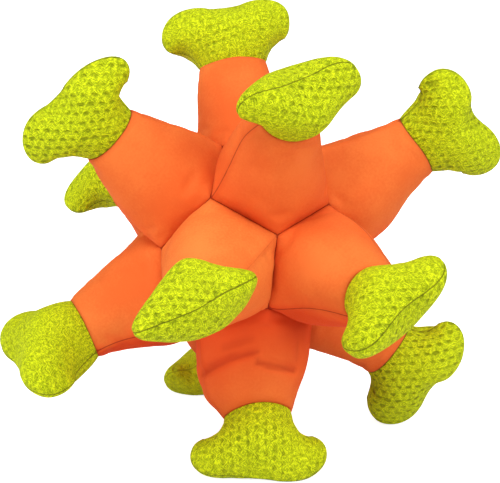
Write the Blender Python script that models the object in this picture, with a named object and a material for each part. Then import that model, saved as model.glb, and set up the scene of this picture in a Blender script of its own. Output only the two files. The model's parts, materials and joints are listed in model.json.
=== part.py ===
"""A stuffed fabric dog toy: twelve canvas arms with mesh bone ends, sewn edge to edge into a ball."""

import math

import bmesh
import bpy
from mathutils import Matrix, Vector

# The ball: each arm's canvas sleeve starts on one five-sided face
BASE_EDGE = 0.0328
BALL_HEIGHT = 0.0907
BALL_OFFSET_X = -0.0020
BALL_OFFSET_Y = 0.0001
POLE_HEADING_DEG = 92.9
POLE_TILT_DEG = 33.7
RING_SPIN_DEG = 49.65

# Cloth, seams and the slack between pieces that touch
CANVAS_WALL = 0.0009
MESH_WALL = 0.0013
SEAM_GAP = 0.0003
FILL_SLACK = 0.0012

# The sleeve, from its five-sided base to its oval neck
NECK_REACH = 0.0810
SLEEVE_MID_RADIUS = 0.0218
NECK_HALF_WIDTH = 0.0140
NECK_HALF_DEPTH = 0.0118

# The bone end: two lobes with a shallow notch between them
LOBE_OFFSET = 0.0186
LOBE_HEIGHT = 0.0186
LOBE_RADIUS = 0.0109
LOBE_START_DEG = -62.0
LOBE_SHARE = 2.0 / 3.0
NOTCH_HEIGHT = 0.0266
WAIST_HEIGHT = 0.0085
WAIST_POWER = 4.0
BONE_HALF_DEPTH = 0.0134
SWELL_SHARE = 0.5
SWELL_POWER = 0.62
THIN_POWER = 3.0
EDGE_POWER = 0.7

# The feet: pressed flat where they stand, with a block that trims them
FOOT_FLAT = 0.0005
TRIM_SIZE = 0.4

# The filling: an arm swings about a ball-shaped root that sits in the core
ROOT_REACH_SHARE = 1.15
ROOT_RADIUS_SHARE = 0.68
ROOT_SLACK = 0.0008
CORE_SLACK = 0.0006

# The squeaker in the core's pocket
BELLOWS_RADIUS = 0.0130
BELLOWS_WAIST_RADIUS = 0.0118
BELLOWS_HEIGHT = 0.0130
BELLOWS_WALL = 0.0010
SQUEAKER_HOLE_RADIUS = 0.0035
SQUEAKER_SLACK = 0.0003
REED_BORE_RADIUS = 0.0012
REED_FLANGE_RADIUS = 0.0052
REED_FLANGE_WALL = 0.0010
REED_DEPTH = 0.0050

# How finely each surface is divided
COLUMNS_PER_EDGE = 3
SLEEVE_ROWS = 3
COVER_COLUMNS = 24
COVER_ROWS = 4
ROOT_ROWS = 3
DIMPLE_SEGMENTS = 20
DIMPLE_RINGS = 12
SQUEAKER_STEPS = 16

# Colours in linear light, with roughness and metallic values
MATERIALS = {
    "orange_canvas": ((0.95, 0.13, 0.03), 0.75, 0.0),
    "lime_mesh": ((0.56, 0.66, 0.02), 0.80, 0.0),
    "fibre_fill": ((0.85, 0.84, 0.80), 0.95, 0.0),
    "pale_plastic": ((0.80, 0.78, 0.70), 0.45, 0.0),
}

# The arms round the ball: a pole, a ring of five, and the arms opposite to these
POLE_ARM = "top"
UPPER_RING = ("rear_left", "upper_left", "front_top", "upper_right", "rear_right")
LOWER_RING = ("front_right", "right_foot", "rear_foot", "lower_left", "front_left")
ANTIPOLE_ARM = "front_foot"

# The neck's lean to the side and up, the bone end's lean to the side and up, and the roll of the
# lobes (None stands both lobes level)
LEANS_DEG = {
    "top": ((3.2, 4.1), (8.3, 4.8), 179.5),
    "upper_left": ((2.1, 2.8), (0.5, 0.2), 78.6),
    "rear_left": ((-4.2, 3.3), (-5.8, 6.4), 139.2),
    "front_top": ((-2.8, -3.0), (-4.1, -2.1), 5.8),
    "upper_right": ((-6.3, 4.4), (-11.5, 6.4), -84.2),
    "rear_right": ((1.0, 2.0), (2.0, 3.0), 60.0),
    "lower_left": ((5.4, 2.1), (4.9, 4.7), -15.9),
    "front_left": ((3.1, -2.7), (13.1, 8.9), 28.1),
    "front_right": ((-4.6, 0.3), (-22.3, 16.1), 29.1),
    "right_foot": ((-8.8, -2.1), (-11.8, 1.6), -76.7),
    "rear_foot": ((-6.5, -1.8), (3.8, 8.7), None),
    "front_foot": ((1.9, -6.4), (0.9, 12.6), None),
}

# Shares of the neck's reach and of the bone end's length, which differ from arm to arm
ARM_SHARES = {
    "top": (0.985, 1.010),
    "upper_left": (1.005, 1.041),
    "rear_left": (0.998, 1.003),
    "front_top": (1.007, 0.992),
    "upper_right": (1.064, 1.068),
    "rear_right": (1.000, 1.000),
    "lower_left": (1.014, 1.117),
    "front_left": (1.017, 1.000),
    "front_right": (1.007, 1.000),
    "right_foot": (1.012, 1.036),
    "rear_foot": (0.978, 0.971),
    "front_foot": (0.938, 1.064),
}
FEET = ("front_foot", "rear_foot", "right_foot")

# Rules of the five-sided ball
GOLDEN = (1.0 + math.sqrt(5.0)) / 2.0
BASE_SIDES = 5
NARROW_SIDES = 2
WIDE_SIDES = 3
BALL_RADIUS = BASE_EDGE * math.sqrt(3.0) * GOLDEN / 2.0
BASE_RADIUS = BASE_EDGE / (2.0 * math.sin(math.pi / BASE_SIDES))
BASE_REACH = math.sqrt(BALL_RADIUS**2 - BASE_RADIUS**2)
ROOT_REACH = BASE_REACH * ROOT_REACH_SHARE
ROOT_RADIUS = BASE_RADIUS * ROOT_RADIUS_SHARE
RING_POLAR = math.atan(2.0)
SIDE_TILT = RING_POLAR / 2.0
CENTRE = Vector((BALL_OFFSET_X, BALL_OFFSET_Y, BALL_HEIGHT))


def clear_scene():
    for item in list(bpy.data.objects):
        bpy.data.objects.remove(item, do_unlink=True)


def make_materials():
    made = {}
    for name, (colour, roughness, metallic) in MATERIALS.items():
        material = bpy.data.materials.new(name)
        material.use_nodes = True
        shader = material.node_tree.nodes["Principled BSDF"]
        shader.inputs["Base Color"].default_value = (*colour, 1.0)
        shader.inputs["Roughness"].default_value = roughness
        shader.inputs["Metallic"].default_value = metallic
        material.diffuse_color = (*colour, 1.0)
        made[name] = material
    return made


def add_object(bm, name, material, origin=None, smooth_deg=50.0):
    """Turn a bmesh in world space into a named object whose origin is at the given point."""
    origin = origin or CENTRE
    bmesh.ops.recalc_face_normals(bm, faces=bm.faces)
    bmesh.ops.translate(bm, verts=bm.verts, vec=-origin)
    mesh = bpy.data.meshes.new(name)
    bm.to_mesh(mesh)
    bm.free()
    mesh.shade_smooth()
    mesh.set_sharp_from_angle(angle=math.radians(smooth_deg))
    item = bpy.data.objects.new(name, mesh)
    item.location = origin
    bpy.context.collection.objects.link(item)
    mesh.materials.append(material)
    return item


def add_cutter(bm, name, origin):
    item = add_object(bm, name, bpy.data.materials[0], origin)
    item.hide_render = True
    item.display_type = "WIRE"
    return item


def cut(item, cutter):
    modifier = item.modifiers.new("cut_" + cutter.name, "BOOLEAN")
    modifier.operation = "DIFFERENCE"
    modifier.solver = "EXACT"
    modifier.object = cutter


def arm_directions():
    """The outward axis of each face of the ball, in world space."""
    heading = Matrix.Rotation(math.radians(POLE_HEADING_DEG), 3, "Z")
    ball = heading @ Matrix.Rotation(math.radians(POLE_TILT_DEG), 3, "Y")
    pole = ball @ Vector((0.0, 0.0, 1.0))
    directions = {POLE_ARM: pole, ANTIPOLE_ARM: -pole}
    for place, (upper, lower) in enumerate(zip(UPPER_RING, LOWER_RING)):
        turn = math.radians(RING_SPIN_DEG) + place * math.tau / BASE_SIDES
        flat = math.sin(RING_POLAR)
        axis = ball @ Vector((flat * math.cos(turn), flat * math.sin(turn), math.cos(RING_POLAR)))
        directions[upper] = axis
        directions[lower] = -axis
    return directions


DIRECTIONS = arm_directions()


def leaned(direction, lean_deg):
    """A direction leaned to the side and up by two angles."""
    side = Vector((0.0, 0.0, 1.0)).cross(direction).normalized()
    up = direction.cross(side)
    turned = direction + side * math.tan(math.radians(lean_deg[0]))
    turned += up * math.tan(math.radians(lean_deg[1]))
    return turned.normalized()


def lobe_direction(axis, direction, roll_deg):
    """The line through both lobes, square to the bone end's axis."""
    if roll_deg is None:
        return axis.cross(Vector((0.0, 0.0, 1.0))).normalized()
    side = Vector((0.0, 0.0, 1.0)).cross(direction).normalized()
    side = (side - axis * side.dot(axis)).normalized()
    turn = math.radians(roll_deg)
    return side * math.cos(turn) + axis.cross(side) * math.sin(turn)


def base_corners(name):
    """The five corners of an arm's base, counterclockwise as seen from outside."""
    axis = DIRECTIONS[name]
    near = [d for other, d in DIRECTIONS.items() if other != name and d.dot(axis) > 0.0]
    side = (near[0] - axis * near[0].dot(axis)).normalized()
    up = axis.cross(side)
    near.sort(key=lambda d: math.atan2(d.dot(up), d.dot(side)))
    corners = []
    for place in range(BASE_SIDES):
        pair = near[place] + near[(place + 1) % BASE_SIDES]
        corners.append((axis + pair).normalized() * BALL_RADIUS)
    return corners


class Arm:
    """One arm's frame: its base on the ball, its oval neck and its bone end."""

    def __init__(self, name):
        neck_lean, bone_lean, roll_deg = LEANS_DEG[name]
        reach_share, self.bone_share = ARM_SHARES[name]
        self.name = name
        self.axis = DIRECTIONS[name]
        self.base = self.axis * BASE_REACH
        self.root = self.axis * ROOT_REACH
        self.bone_axis = leaned(self.axis, bone_lean)
        self.wide = lobe_direction(self.bone_axis, self.axis, roll_deg)
        self.deep = self.bone_axis.cross(self.wide)
        outward = leaned(self.axis, neck_lean)
        self.neck = outward * NECK_REACH * reach_share
        if name in FEET:
            self.stand(outward)
        self.place_seams()

    def stand(self, outward):
        """Slide the neck along the arm until the lowest lobe dips under the floor by the flat's depth."""
        lowest = min(point.z for row in self.cover_rows() for point in row)
        drop = BALL_HEIGHT + FOOT_FLAT + lowest
        self.neck = self.neck + outward * (drop / -outward.z)

    def place_seams(self):
        """Start the two side seams at the base corners that lie nearest the line of the lobes."""
        corners = base_corners(self.name)
        flat = [(c.dot(self.wide), c.dot(self.deep)) for c in corners]
        angles = [math.atan2(y, x) for x, y in flat]
        first = min(range(BASE_SIDES), key=lambda k: abs(angles[k]))
        self.corners = corners[first:] + corners[:first]
        turned = angles[first:] + angles[:first]
        sides = (NARROW_SIDES, WIDE_SIDES)
        self.split = min(sides, key=lambda k: abs(math.pi - turned[k] % math.tau))

    def neck_turn(self, share):
        """The angle round the neck that a share of the base's perimeter, 0 to 5, is sewn to."""
        if share <= self.split:
            return math.pi * share / self.split
        return math.pi + math.pi * (share - self.split) / (BASE_SIDES - self.split)

    def base_share(self, turn):
        """The place on the base's perimeter that is sewn to an angle round the neck."""
        if turn <= math.pi:
            return self.split * turn / math.pi
        return self.split + (BASE_SIDES - self.split) * (turn - math.pi) / math.pi

    def sleeve_point(self, share, along, inset=0.0):
        """A point of the sleeve: share goes round the base, along runs from base 0 to neck 1."""
        place = share % BASE_SIDES
        step = min(int(place), BASE_SIDES - 1)
        corner, following = self.corners[step], self.corners[(step + 1) % BASE_SIDES]
        base = corner.lerp(following, place - step)
        base = base - (base - self.base).normalized() * (SEAM_GAP / 2.0 / math.cos(SIDE_TILT))
        turn = self.neck_turn(place)
        neck = self.neck - self.bone_axis * (SEAM_GAP / 2.0)
        top = neck + self.wide * NECK_HALF_WIDTH * math.cos(turn)
        top += self.deep * NECK_HALF_DEPTH * math.sin(turn)
        spoke = (base - self.base).normalized() + (top - neck).normalized()
        centre = bezier(self.base, (self.base + neck) / 2.0, neck, along)
        middle = (self.base + neck) / 2.0 + spoke.normalized() * SLEEVE_MID_RADIUS
        point = bezier(base, middle, top, along)
        return point - (point - centre).normalized() * inset

    def seam_outline(self, share, inset):
        """The bone end's flat outline, from the right lobe's side over the notch to the left lobe's."""
        half = min(share, 1.0 - share) * 2.0
        if half < LOBE_SHARE:
            turn = math.radians(LOBE_START_DEG + (90.0 - LOBE_START_DEG) * half / LOBE_SHARE)
            across = LOBE_OFFSET + (LOBE_RADIUS - inset) * math.cos(turn)
            height = LOBE_HEIGHT + (LOBE_RADIUS - inset) * math.sin(turn)
        else:
            place = (1.0 - half) / (1.0 - LOBE_SHARE)
            dip = LOBE_HEIGHT + LOBE_RADIUS - NOTCH_HEIGHT
            across = LOBE_OFFSET * place
            height = NOTCH_HEIGHT - inset + dip * (1.0 - math.cos(math.pi * place)) / 2.0
        return (across if share <= 0.5 else -across), height

    def cover_point(self, share, along, inset=0.0):
        """A point of the bone end: share goes round the neck, along runs from neck 0 to outline 1."""
        turn = math.tau * share
        fold = share * 2.0 if share <= 0.5 else (1.0 - share) * 2.0
        across, height = self.seam_outline(fold, inset)
        neck_across = (NECK_HALF_WIDTH - inset) * math.cos(turn)
        neck_depth = (NECK_HALF_DEPTH - inset) * math.sin(turn)
        side = abs(math.cos(turn)) ** WAIST_POWER
        waist = height / 2.0 * (1.0 - side) + (WAIST_HEIGHT + inset) * side
        x = bezier(neck_across, neck_across, across, along)
        y = bezier(0.0, waist, height, along) * self.bone_share
        swell = math.copysign(abs(math.sin(turn)) ** SWELL_POWER, math.sin(turn)) * (BONE_HALF_DEPTH - inset)
        z = neck_depth + (swell - neck_depth) * min(1.0, along / SWELL_SHARE)
        z *= max(0.0, 1.0 - along**THIN_POWER) ** EDGE_POWER
        return self.neck + self.bone_axis * (y + SEAM_GAP / 2.0) + self.wide * x + self.deep * z

    def cover_rows(self):
        heights = [seam_share(along) for along in unit_steps(COVER_ROWS)]
        return [self.cover_row(along) for along in heights]

    def cover_row(self, along, inset=0.0):
        return [self.cover_point(k / COVER_COLUMNS, along, inset) for k in range(COVER_COLUMNS)]


def bezier(first, middle, last, share):
    return first * (1.0 - share) ** 2 + middle * (2.0 * share * (1.0 - share)) + last * share**2


def unit_steps(count):
    return [step / count for step in range(count + 1)]


def add_loop(bm, points):
    """A closed loop of edges through points."""
    verts = [bm.verts.new(point) for point in points]
    edges = [bm.edges.new((verts[k], verts[(k + 1) % len(verts)])) for k in range(len(verts))]
    return verts, edges


def extrude_loop(bm, verts, edges, points):
    """Extrude a closed loop of edges and move its copy onto the next row's points."""
    made = bmesh.ops.extrude_edge_only(bm, edges=edges)["geom"]
    new_edges = [g for g in made if isinstance(g, bmesh.types.BMEdge)]
    new_verts = [g for g in made if isinstance(g, bmesh.types.BMVert)]
    follow = {}
    for vert in verts:
        for edge in vert.link_edges:
            other = edge.other_vert(vert)
            if other in new_verts:
                follow[vert] = other
    row = [follow[vert] for vert in verts]
    for vert, point in zip(row, points):
        vert.co = point
    return row, [e for e in new_edges if e.verts[0] in row and e.verts[1] in row]


def loft(bm, rows, close_start=True, close_end=True):
    """Draw the first row as a loop and extrude it through the others."""
    verts, edges = add_loop(bm, rows[0])
    if close_start:
        bmesh.ops.edgeloop_fill(bm, edges=edges)
    for points in rows[1:]:
        verts, edges = extrude_loop(bm, verts, edges, points)
    if close_end:
        bmesh.ops.edgeloop_fill(bm, edges=edges)
    return verts


def panel_strip(arm, start, stop, along):
    """One row of a sleeve panel as a thin closed strip: the outer face there, the inner face back."""
    count = round(stop - start) * COLUMNS_PER_EDGE
    trim = SEAM_GAP / 2.0 / BASE_EDGE
    shares = [start + trim + (stop - start - 2.0 * trim) * k / count for k in range(count + 1)]
    outer = [CENTRE + arm.sleeve_point(share, along) for share in shares]
    inner = [CENTRE + arm.sleeve_point(share, along, CANVAS_WALL) for share in reversed(shares)]
    return outer + inner


def make_sleeve(arm, material):
    """Two canvas panels: one spans two sides of the base, the other three."""
    spans = ((0, arm.split), (arm.split, BASE_SIDES))
    for start, stop in spans:
        kind = "narrow" if stop - start == NARROW_SIDES else "wide"
        bm = bmesh.new()
        rows = [panel_strip(arm, start, stop, along) for along in unit_steps(SLEEVE_ROWS)]
        loft(bm, rows)
        add_object(bm, "sleeve_" + arm.name + "_" + kind, material, CENTRE + arm.root)


def make_bone_end(arm, material):
    """The mesh cover, two panels sewn together along the outline of the lobes."""
    bm = bmesh.new()
    rows = [[CENTRE + point for point in row] for row in arm.cover_rows()]
    loft(bm, rows, close_start=False, close_end=False)
    bmesh.ops.remove_doubles(bm, verts=bm.verts, dist=SEAM_GAP / 10.0)
    item = add_object(bm, "bone_end_" + arm.name, material, CENTRE + arm.root)
    shell = item.modifiers.new("mesh_wall", "SOLIDIFY")
    shell.thickness = MESH_WALL
    shell.offset = -1.0
    shell.use_even_offset = True
    if arm.name in FEET:
        cut(item, bpy.data.objects["floor_trim"])


def seam_share(along):
    """Rows lie closer together towards the seam, where the cloth turns over."""
    return math.sin(along * math.pi / 2.0)


def fill_rows(arm):
    """Rows of an arm's filling: a ball root, the sleeve's inside, then the bone end's inside."""
    turns = [math.tau * k / COVER_COLUMNS for k in range(COVER_COLUMNS)]
    spokes = [(arm.sleeve_point(arm.base_share(turn), 0.0) - arm.base).normalized() for turn in turns]
    rows = []
    for row in range(1, ROOT_ROWS + 1):
        tip = math.pi / 2.0 * row / ROOT_ROWS
        low = arm.root - arm.axis * ROOT_RADIUS * math.cos(tip)
        rows.append([low + spoke * ROOT_RADIUS * math.sin(tip) for spoke in spokes])
    for row in range(1, SLEEVE_ROWS + 1):
        inset = (CANVAS_WALL if row < SLEEVE_ROWS else MESH_WALL) + FILL_SLACK
        along = row / SLEEVE_ROWS
        rows.append([arm.sleeve_point(arm.base_share(turn), along, inset) for turn in turns])
    for row in range(1, COVER_ROWS + 1):
        rows.append(arm.cover_row(seam_share(row / COVER_ROWS), MESH_WALL + FILL_SLACK))
    return [[CENTRE + point for point in row] for row in rows]


def make_arm_fill(arm, material):
    """The fibre packed into one arm, from its ball root to the lobes."""
    bm = bmesh.new()
    loft(bm, fill_rows(arm), close_end=False)
    bmesh.ops.remove_doubles(bm, verts=bm.verts, dist=SEAM_GAP / 10.0)
    add_object(bm, "fill_" + arm.name, material, CENTRE + arm.root)


def along_axis(axis):
    """The turn that points the local Z axis along the given direction."""
    return axis.to_track_quat("Z", "Y").to_matrix().to_4x4()


def make_core(arms, material):
    """The fibre in the middle, with a round seat for each arm's root and a pocket for the squeaker."""
    bm = bmesh.new()
    shrink = (BASE_REACH - CORE_SLACK) / BASE_REACH
    for arm in arms:
        for corner in arm.corners:
            bm.verts.new(CENTRE + corner * shrink)
    bmesh.ops.remove_doubles(bm, verts=bm.verts, dist=SEAM_GAP)
    bmesh.ops.convex_hull(bm, input=bm.verts)
    bmesh.ops.dissolve_limit(bm, angle_limit=math.radians(1.0), verts=bm.verts, edges=bm.edges)
    core = add_object(bm, "fill_core", material, smooth_deg=30.0)
    for arm in arms:
        seat = bmesh.new()
        radius = ROOT_RADIUS + ROOT_SLACK
        bmesh.ops.create_uvsphere(seat, u_segments=DIMPLE_SEGMENTS, v_segments=DIMPLE_RINGS, radius=radius)
        place = Matrix.Translation(CENTRE + arm.root) @ along_axis(arm.axis)
        bmesh.ops.transform(seat, matrix=place, verts=seat.verts)
        cut(core, add_cutter(seat, "seat_" + arm.name, CENTRE + arm.root))
    cut(core, make_pocket_cutter())


def squeaker_place():
    """The squeaker stands in the ball's middle, with its reed towards the front foot."""
    return Matrix.Translation(CENTRE) @ along_axis(-DIRECTIONS["front_foot"])


def make_pocket_cutter():
    """The pocket runs from above the squeaker down into the front foot's seat."""
    bm = bmesh.new()
    top = BELLOWS_HEIGHT / 2.0 + SQUEAKER_SLACK
    radius = (BELLOWS_RADIUS + SQUEAKER_SLACK) / math.cos(math.pi / SQUEAKER_STEPS)
    bmesh.ops.create_cone(
        bm, cap_ends=True, segments=SQUEAKER_STEPS, radius1=radius, radius2=radius, depth=top + ROOT_REACH
    )
    bmesh.ops.translate(bm, verts=bm.verts, vec=(0.0, 0.0, (top - ROOT_REACH) / 2.0))
    bmesh.ops.transform(bm, matrix=squeaker_place(), verts=bm.verts)
    return add_cutter(bm, "pocket", CENTRE)


def turn_profile(points, closed):
    """Spin a profile in the XZ plane once round the Z axis."""
    bm = bmesh.new()
    verts = [bm.verts.new((x, 0.0, z)) for x, z in points]
    pairs = list(zip(verts, verts[1:]))
    if closed:
        pairs.append((verts[-1], verts[0]))
    geom = verts + [bm.edges.new(pair) for pair in pairs]
    middle = (0.0, 0.0, 0.0)
    upward = (0.0, 0.0, 1.0)
    bmesh.ops.spin(bm, geom=geom, cent=middle, axis=upward, angle=math.tau, steps=SQUEAKER_STEPS)
    bmesh.ops.remove_doubles(bm, verts=bm.verts, dist=SEAM_GAP / 10.0)
    bmesh.ops.transform(bm, matrix=squeaker_place(), verts=bm.verts)
    return bm


def bellows_side(inset):
    """The bellows' outline from the middle of its closed top to its hole, drawn in by an inset."""
    half = BELLOWS_HEIGHT / 2.0
    rib = BELLOWS_HEIGHT / 4.0
    return [
        (0.0, half - inset),
        (BELLOWS_WAIST_RADIUS - inset, half - inset),
        (BELLOWS_RADIUS - inset, rib),
        (BELLOWS_WAIST_RADIUS - inset, 0.0),
        (BELLOWS_RADIUS - inset, -rib),
        (BELLOWS_WAIST_RADIUS - inset, inset - half),
        (SQUEAKER_HOLE_RADIUS, inset - half),
    ]


def make_squeaker(material):
    """A thin plastic bellows with a reed plugged into its hole."""
    shell = bellows_side(0.0) + bellows_side(BELLOWS_WALL)[::-1]
    add_object(turn_profile(shell, closed=False), "squeaker_bellows", material)
    top = REED_DEPTH - BELLOWS_HEIGHT / 2.0
    seat = -BELLOWS_HEIGHT / 2.0 - SQUEAKER_SLACK
    stem = SQUEAKER_HOLE_RADIUS - SQUEAKER_SLACK
    reed = [
        (REED_BORE_RADIUS, top),
        (stem, top),
        (stem, seat),
        (REED_FLANGE_RADIUS, seat),
        (REED_FLANGE_RADIUS, seat - REED_FLANGE_WALL),
        (REED_BORE_RADIUS, seat - REED_FLANGE_WALL),
    ]
    add_object(turn_profile(reed, closed=True), "squeaker_reed", material)


def make_floor_trim():
    """A block under the floor that presses the feet flat."""
    bm = bmesh.new()
    bmesh.ops.create_cube(bm, size=TRIM_SIZE)
    bmesh.ops.translate(bm, verts=bm.verts, vec=(0.0, 0.0, -TRIM_SIZE / 2.0))
    return add_cutter(bm, "floor_trim", Vector())


def main():
    clear_scene()
    materials = make_materials()
    make_floor_trim()
    arms = [Arm(name) for name in DIRECTIONS]
    for arm in arms:
        make_sleeve(arm, materials["orange_canvas"])
        make_bone_end(arm, materials["lime_mesh"])
        make_arm_fill(arm, materials["fibre_fill"])
    make_core(arms, materials["fibre_fill"])
    make_squeaker(materials["pale_plastic"])


main()
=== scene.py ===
# %% [markdown]
# # A stuffed dog toy sewn from canvas and air mesh
# The toy is a ball of twelve arms. Each arm is a tube of orange canvas that starts on a five-sided base
# and ends in a bone-shaped pocket of lime air mesh. The arms are packed with fibre, so every panel
# bulges between its seams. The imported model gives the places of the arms; this script dresses them.

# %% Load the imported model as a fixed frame
import json
import math

import bmesh
import bpy
import numpy as np
from mathutils import Matrix, Vector, noise


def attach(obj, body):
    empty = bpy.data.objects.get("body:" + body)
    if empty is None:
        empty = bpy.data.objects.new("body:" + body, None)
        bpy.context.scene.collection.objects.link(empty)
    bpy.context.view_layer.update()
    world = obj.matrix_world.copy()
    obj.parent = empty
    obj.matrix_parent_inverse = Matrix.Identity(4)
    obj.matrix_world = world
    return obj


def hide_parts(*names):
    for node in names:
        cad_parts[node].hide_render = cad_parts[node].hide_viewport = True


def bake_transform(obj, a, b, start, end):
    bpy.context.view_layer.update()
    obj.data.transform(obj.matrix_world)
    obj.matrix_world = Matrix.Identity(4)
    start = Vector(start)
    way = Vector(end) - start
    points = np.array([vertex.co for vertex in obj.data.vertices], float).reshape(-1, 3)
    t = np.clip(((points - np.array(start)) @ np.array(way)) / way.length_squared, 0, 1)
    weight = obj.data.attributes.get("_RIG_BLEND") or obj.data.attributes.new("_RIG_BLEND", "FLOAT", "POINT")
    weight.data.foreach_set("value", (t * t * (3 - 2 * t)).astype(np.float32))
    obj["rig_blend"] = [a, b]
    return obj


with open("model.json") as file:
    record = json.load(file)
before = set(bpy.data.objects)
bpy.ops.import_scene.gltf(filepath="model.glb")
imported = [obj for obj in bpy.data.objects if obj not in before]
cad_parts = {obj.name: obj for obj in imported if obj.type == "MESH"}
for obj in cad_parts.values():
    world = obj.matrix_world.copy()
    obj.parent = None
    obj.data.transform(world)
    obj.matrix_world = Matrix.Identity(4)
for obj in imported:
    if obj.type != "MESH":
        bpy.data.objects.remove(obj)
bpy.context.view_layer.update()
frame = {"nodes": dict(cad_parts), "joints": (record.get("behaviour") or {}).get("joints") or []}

MM = 0.001
TO_MM = 1000.0

# %% [markdown]
# ## Where the arms are
# Every arm swings on a joint at its root. The joint's place gives the arm's axis, because all twelve
# roots lie at one distance from the ball's centre. The joint's axis is the line through both lobes of
# the bone end. The table adds the middle of each neck and of the notch at each tip, as the solids
# have them.

# %% The arms' landmarks
ARM_POINTS = {
    "top": ((-0.00843, 0.03917, 0.15997), (-0.01294, 0.05181, 0.18324)),
    "upper_left": ((-0.06006, -0.01689, 0.14517), (-0.08080, -0.02211, 0.16276)),
    "rear_left": ((-0.05549, 0.06008, 0.09942), (-0.07245, 0.08022, 0.10371)),
    "front_top": ((0.01520, -0.04267, 0.15799), (0.02007, -0.05645, 0.17996)),
    "upper_right": ((0.07310, 0.01050, 0.13169), (0.09771, 0.01128, 0.14586)),
    "rear_right": ((0.02038, 0.07783, 0.08648), (0.02729, 0.10350, 0.08556)),
    "lower_left": ((-0.07317, -0.02701, 0.05995), (-0.09947, -0.03669, 0.05008)),
    "front_left": ((-0.02186, -0.07978, 0.09398), (-0.02355, -0.10559, 0.10020)),
    "front_right": ((0.05182, -0.06108, 0.08700), (0.06235, -0.08484, 0.09265)),
    "right_foot": ((0.06070, 0.00212, 0.03666), (0.08279, 0.00163, 0.02019)),
    "rear_foot": ((-0.01149, 0.03860, 0.02246), (-0.02049, 0.05262, 0.00272)),
    "front_foot": ((0.00230, -0.03489, 0.02258), (0.00377, -0.05530, 0.00303)),
}
BALL_RADIUS = 0.04596
BASE_REACH_SHARE = 0.79465
BASE_SIDES = 5

JOINTS = {joint["child"][len("arm_"):]: joint for joint in frame["joints"]}
CENTRE = sum((Vector(joint["pos_m"]) for joint in JOINTS.values()), Vector()) / len(JOINTS)
DIRECTIONS = {arm: (Vector(joint["pos_m"]) - CENTRE).normalized() for arm, joint in JOINTS.items()}
print("the ball's centre is at", [round(v, 4) for v in CENTRE])

# %% [markdown]
# ## One arm as a frame of directions
# The bases of the twelve arms are the faces of a dodecahedron, so a base's corners follow from the
# arm's own direction and those of its five neighbours. The sleeve has two panels. Their side seams
# start at the two corners nearest the line of the lobes, and they run to the two sides of the neck.

# %% An arm's frame
class Arm:
    def __init__(self, name):
        self.name = name
        self.axis = DIRECTIONS[name]
        neck, notch = (Vector(point) for point in ARM_POINTS[name])
        self.neck = neck
        self.bone_axis = (notch - neck).normalized()
        self.bone_length = (notch - neck).length
        wide = Vector(JOINTS[name]["axis"])
        self.wide = (wide - self.bone_axis * wide.dot(self.bone_axis)).normalized()
        self.deep = self.bone_axis.cross(self.wide)
        self.base = CENTRE + self.axis * (BALL_RADIUS * BASE_REACH_SHARE)
        self.corners, self.split = self.seamed_corners()

    def seamed_corners(self):
        near = [d for other, d in DIRECTIONS.items() if other != self.name and d.dot(self.axis) > 0.0]
        side = (near[0] - self.axis * near[0].dot(self.axis)).normalized()
        up = self.axis.cross(side)
        near.sort(key=lambda d: math.atan2(d.dot(up), d.dot(side)))
        pairs = zip(near, near[1:] + near[:1])
        corners = [(self.axis + one + other).normalized() * BALL_RADIUS for one, other in pairs]
        angles = [math.atan2(c.dot(self.deep), c.dot(self.wide)) for c in corners]
        first = min(range(BASE_SIDES), key=lambda k: abs(angles[k]))
        corners = corners[first:] + corners[:first]
        angles = angles[first:] + angles[:first]
        split = min((2, 3), key=lambda k: abs(math.pi - angles[k] % math.tau))
        return [CENTRE + c for c in corners], split


ARMS = {name: Arm(name) for name in ARM_POINTS}
print("sides of the base on the first panel:", {name: arm.split for name, arm in ARMS.items()})

# %% [markdown]
# ## What the stuffing does to each arm
# No two arms of a hand-stuffed toy are alike. More fibre goes into one lobe than into the other, a neck
# sags, a side is pressed in. A few soft pulls per arm give that: each moves one spot of the arm by
# some millimetres and fades round it like a bell curve. The spots are named from the arm's own view:
# left and right along the lobes, front and back along the depth. They are listed as millimetres
# across, along and deep. Nothing moves at the base, where the sleeve is sewn to its neighbours.

# %% The soft pulls
BONE_SPOTS = {
    "left_side": (-27.0, 19.0, 0.0), "right_side": (27.0, 19.0, 0.0),
    "left_tip": (-17.0, 28.0, 0.0), "right_tip": (17.0, 28.0, 0.0),
    "left_waist": (-17.0, 9.0, 0.0), "right_waist": (17.0, 9.0, 0.0),
    "notch": (0.0, 26.0, 0.0), "front": (0.0, 12.0, 12.0), "back": (0.0, 12.0, -12.0),
    "left_front": (-18.0, 18.0, 9.0), "left_back": (-18.0, 18.0, -9.0),
    "right_front": (18.0, 18.0, 9.0), "right_back": (18.0, 18.0, -9.0),
}
SLEEVE_HEIGHTS = {"low": 0.35, "high": 0.75}
SLEEVE_SIDES = {"right": 0.0, "front": 90.0, "left": 180.0, "back": 270.0}
SLEEVE_SPOT_RADIUS = 0.022
BONE_PULL_REACH = 0.0075
SLEEVE_PULL_REACH = 0.011
PULL_START = 0.012
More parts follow.
